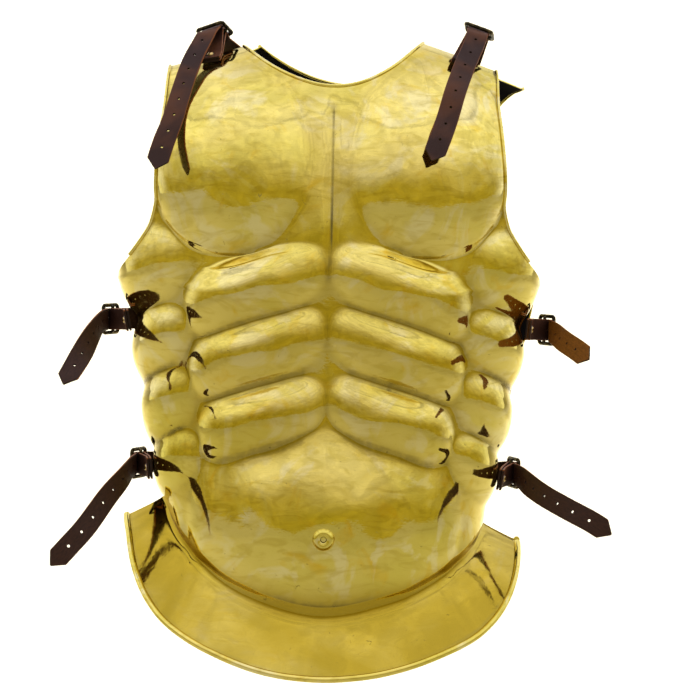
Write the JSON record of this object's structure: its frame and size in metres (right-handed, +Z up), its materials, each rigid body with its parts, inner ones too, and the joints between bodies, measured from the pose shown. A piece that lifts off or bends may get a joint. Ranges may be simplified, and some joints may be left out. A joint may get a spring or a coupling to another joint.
{
  "type": "muscle cuirass",
  "caption": "Brass torso armour with raised chest and belly muscles: breastplate and backplate buckled together over the shoulders and at the sides with leather straps.",
  "frame": {"origin": "between the shoulders, level with the shoulder edges, on the midline of the breastplate where the two plates meet", "axes": "+Z up along the body, the front of the cuirass faces -Y, +X is the wearer's left"},
  "size_m": [0.5103, 0.2694, 0.6094],
  "materials": {
    "brass_sheet": "polished, darkened in the creases",
    "strap_leather": "dark brown, smooth grain",
    "buckle_bronze": "dark antique bronze",
    "steel": "bright, worn",
    "rivet_brass": "dull"
  },
  "bodies": {
    "root": {"breastplate": "brass_sheet", "backplate": "brass_sheet", "billet_shoulder_left": "strap_leather", "chape_shoulder_left": "strap_leather", "buckle_shoulder_left": "buckle_bronze", "prong_shoulder_left": "steel", "roller_shoulder_left": "steel", "rivet_front_shoulder_left": "rivet_brass", "rivet_back_shoulder_left": "rivet_brass", "billet_shoulder_right": "strap_leather", "chape_shoulder_right": "strap_leather", "buckle_shoulder_right": "buckle_bronze", "prong_shoulder_right": "steel", "roller_shoulder_right": "steel", "rivet_front_shoulder_right": "rivet_brass", "rivet_back_shoulder_right": "rivet_brass", "billet_upper_side_left": "strap_leather", "chape_upper_side_left": "strap_leather", "buckle_upper_side_left": "buckle_bronze", "prong_upper_side_left": "steel", "roller_upper_side_left": "steel", "rivet_front_upper_side_left": "rivet_brass", "rivet_back_upper_side_left": "rivet_brass", "billet_upper_side_right": "strap_leather", "chape_upper_side_right": "strap_leather", "buckle_upper_side_right": "buckle_bronze", "prong_upper_side_right": "steel", "roller_upper_side_right": "steel", "rivet_front_upper_side_right": "rivet_brass", "rivet_back_upper_side_right": "rivet_brass", "billet_lower_side_left": "strap_leather", "chape_lower_side_left": "strap_leather", "buckle_lower_side_left": "buckle_bronze", "prong_lower_side_left": "steel", "roller_lower_side_left": "steel", "rivet_front_lower_side_left": "rivet_brass", "rivet_back_lower_side_left": "rivet_brass", "billet_lower_side_right": "strap_leather", "chape_lower_side_right": "strap_leather", "buckle_lower_side_right": "buckle_bronze", "prong_lower_side_right": "steel", "roller_lower_side_right": "steel", "rivet_front_lower_side_right": "rivet_brass", "rivet_back_lower_side_right": "rivet_brass"}
  },
  "joints": []
}
